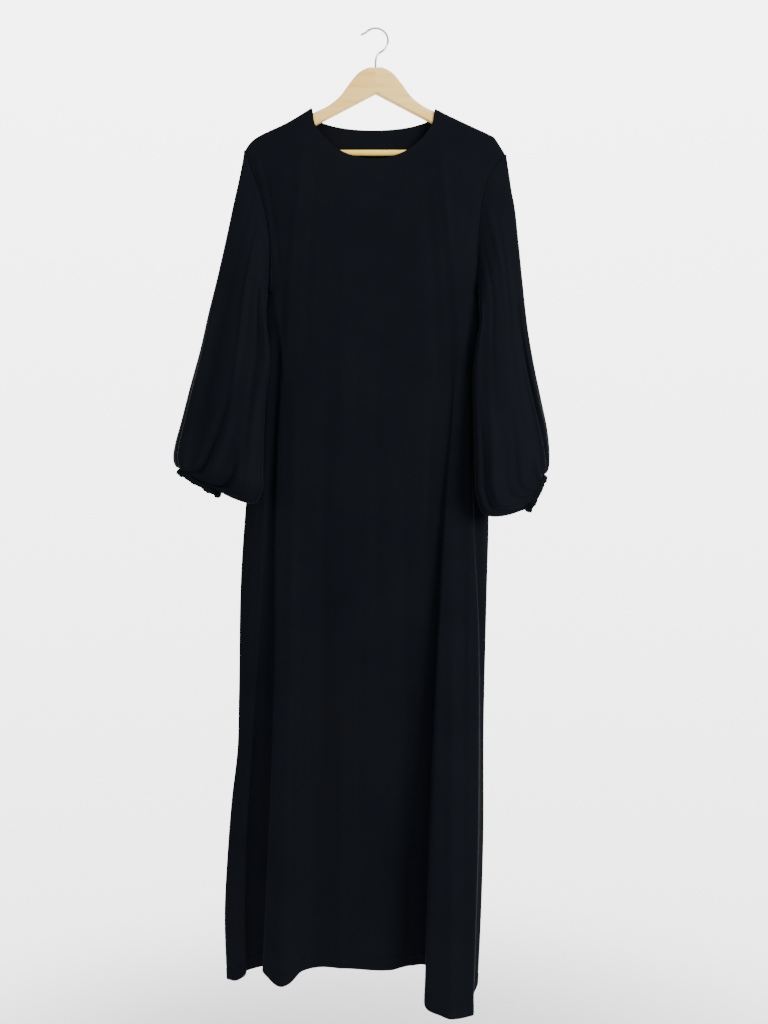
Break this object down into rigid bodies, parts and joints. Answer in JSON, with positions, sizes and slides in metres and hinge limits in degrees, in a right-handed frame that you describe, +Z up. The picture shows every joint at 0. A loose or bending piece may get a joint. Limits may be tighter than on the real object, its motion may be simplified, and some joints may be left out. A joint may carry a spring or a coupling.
{
  "type": "abaya on a coat hanger",
  "caption": "Full-length plain abaya cloak with a round neck and gathered balloon sleeves, hanging on a wooden coat hanger with a rod and a steel hook.",
  "frame": {"origin": "the point inside the top of the hook that bears on the rail or nail it hangs from", "axes": "+Z up, +X to the right of a viewer who faces the garment's front, +Y away from that viewer, square through the hanger"},
  "size_m": [0.64, 0.142, 1.6708],
  "materials": {
    "cloth": "matte black crepe",
    "maple": "clear satin lacquer",
    "rod_wood": "clear satin lacquer",
    "steel": "bright"
  },
  "bodies": {
    "root": {"front_panel": "cloth", "back_panel": "cloth", "sleeve_left": "cloth", "sleeve_right": "cloth", "cuff_left": "cloth", "cuff_right": "cloth", "hanger_half_left": "maple", "hanger_half_right": "maple", "hanger_rod": "rod_wood", "hanger_hook": "steel"}
  },
  "joints": []
}
